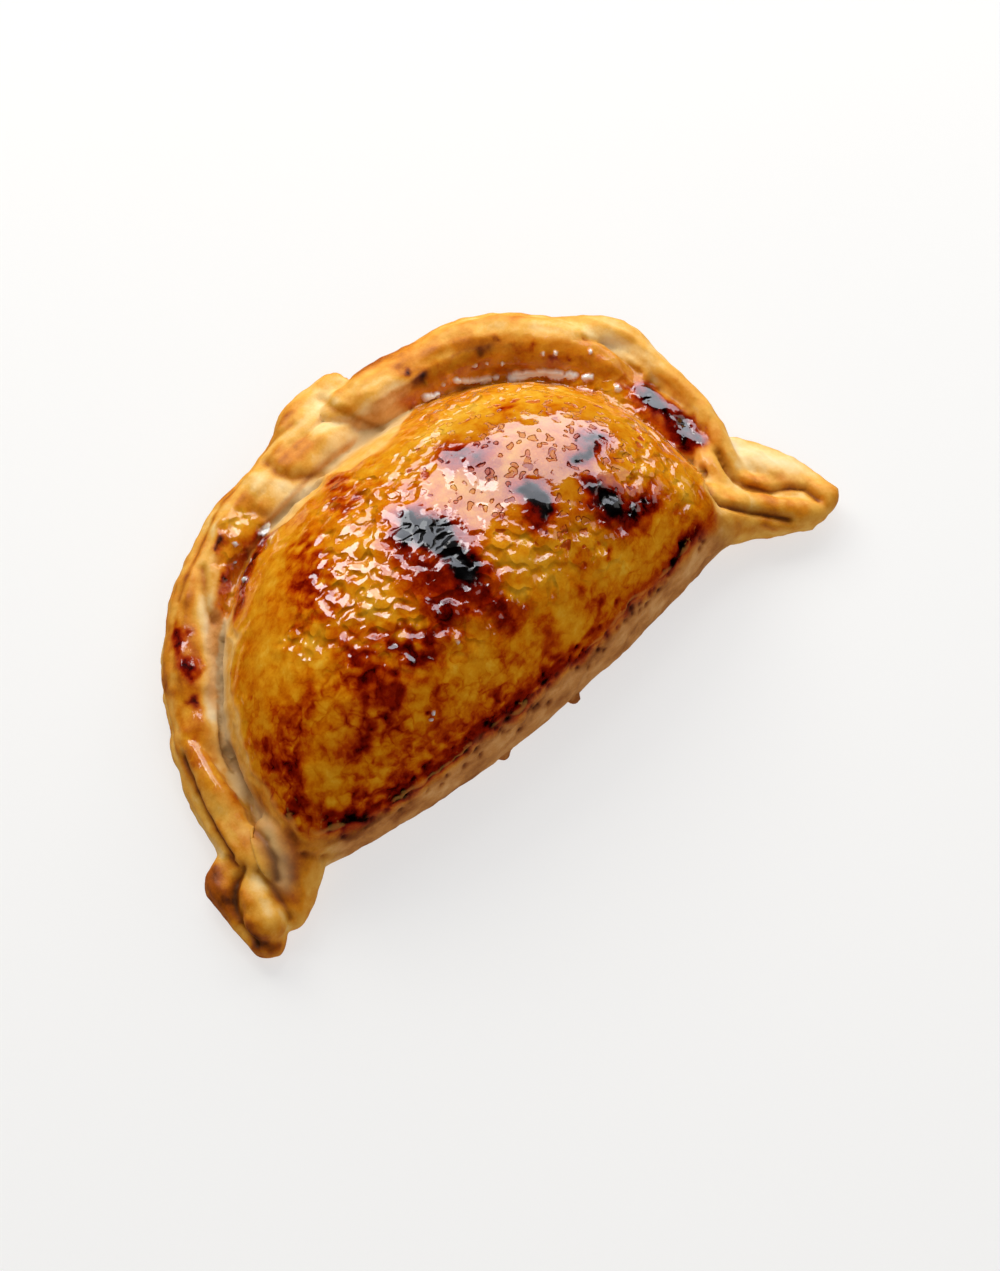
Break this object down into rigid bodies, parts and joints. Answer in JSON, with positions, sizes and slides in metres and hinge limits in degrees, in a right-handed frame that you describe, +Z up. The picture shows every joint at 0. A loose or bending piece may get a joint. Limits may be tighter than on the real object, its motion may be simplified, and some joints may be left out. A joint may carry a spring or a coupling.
{
  "type": "empanada",
  "caption": "Baked half-moon empanada: a filled, glossy, browned dome with a folded straight side, a rolled round edge and pinched tips.",
  "frame": {"origin": "middle of the bounding box, on the surface it rests on", "axes": "+X from the knotted tip to the twisted tail, +Y from the fold to the rolled edge, +Z up"},
  "size_m": [0.1548, 0.0898, 0.0404],
  "materials": {
    "crust": "egg-glazed baked dough, golden with burnt spots, paler on the rolled edge"
  },
  "bodies": {
    "root": {"empanada": "crust"}
  },
  "joints": []
}
